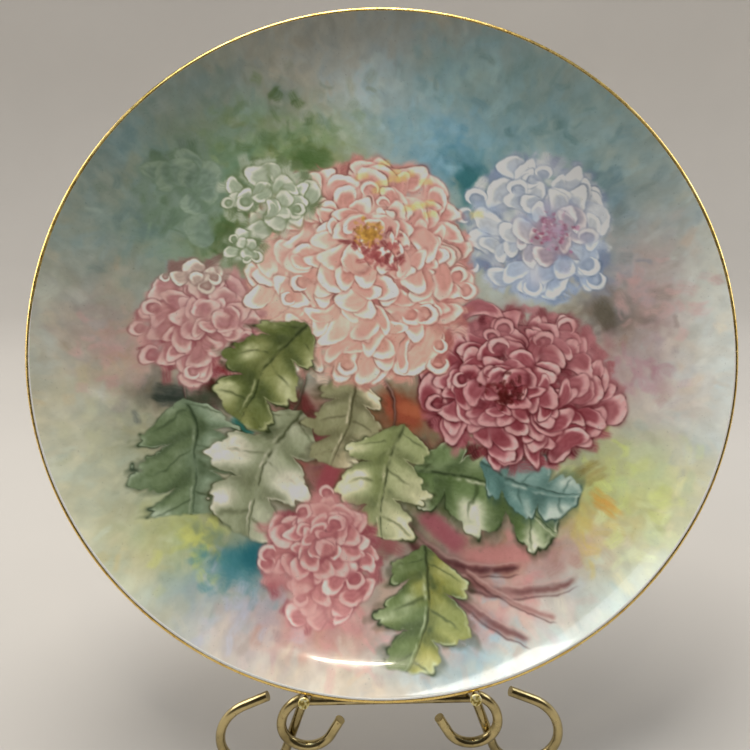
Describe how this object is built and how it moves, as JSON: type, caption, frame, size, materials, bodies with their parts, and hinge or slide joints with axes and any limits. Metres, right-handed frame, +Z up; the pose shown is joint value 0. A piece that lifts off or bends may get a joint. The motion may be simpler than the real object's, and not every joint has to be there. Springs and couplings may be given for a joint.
{
  "type": "display plate on easel",
  "caption": "Round porcelain coupe plate with a painted flower face and gilt edge, standing on a folding brass rod easel with scroll legs.",
  "frame": {"origin": "on the table, midway between the foremost and rearmost points and centred across", "axes": "+Z up, +X to the viewer's right when facing the painting, -Y the way the painting faces"},
  "size_m": [0.307, 0.1488, 0.3161],
  "materials": {
    "white_porcelain": "glossy white glaze, foot ring bare",
    "painted_glaze": "glossy, painted with flowers over a soft coloured wash",
    "gilding": "polished gold line",
    "polished_brass": "polished, lightly tarnished, brazed joints"
  },
  "bodies": {
    "stand": {"frame_hoop": "polished_brass", "ledge_bar": "polished_brass", "left_leg_scroll": "polished_brass", "right_leg_scroll": "polished_brass", "left_inner_scroll": "polished_brass", "right_inner_scroll": "polished_brass", "hinge_bar": "polished_brass", "stop_bar": "polished_brass"},
    "prop": {"hinge_tube": "polished_brass", "prop_leg": "polished_brass", "prop_foot": "polished_brass", "stop_tab": "polished_brass"},
    "plate": {"plate_body": "white_porcelain", "painted_glaze": "painted_glaze", "gold_rim": "gilding"}
  },
  "joints": [
    {"name": "prop_fold", "type": "hinge", "parent": "stand", "child": "prop", "pos_m": [0, 0.02157, 0.16473], "axis": [-1, 0, 0], "range_deg": [0, 31]},
    {"name": "plate_lift", "type": "slide", "parent": "stand", "child": "plate", "axis": [0, 0, 1], "range_m": [0, 0.24]}
  ]
}
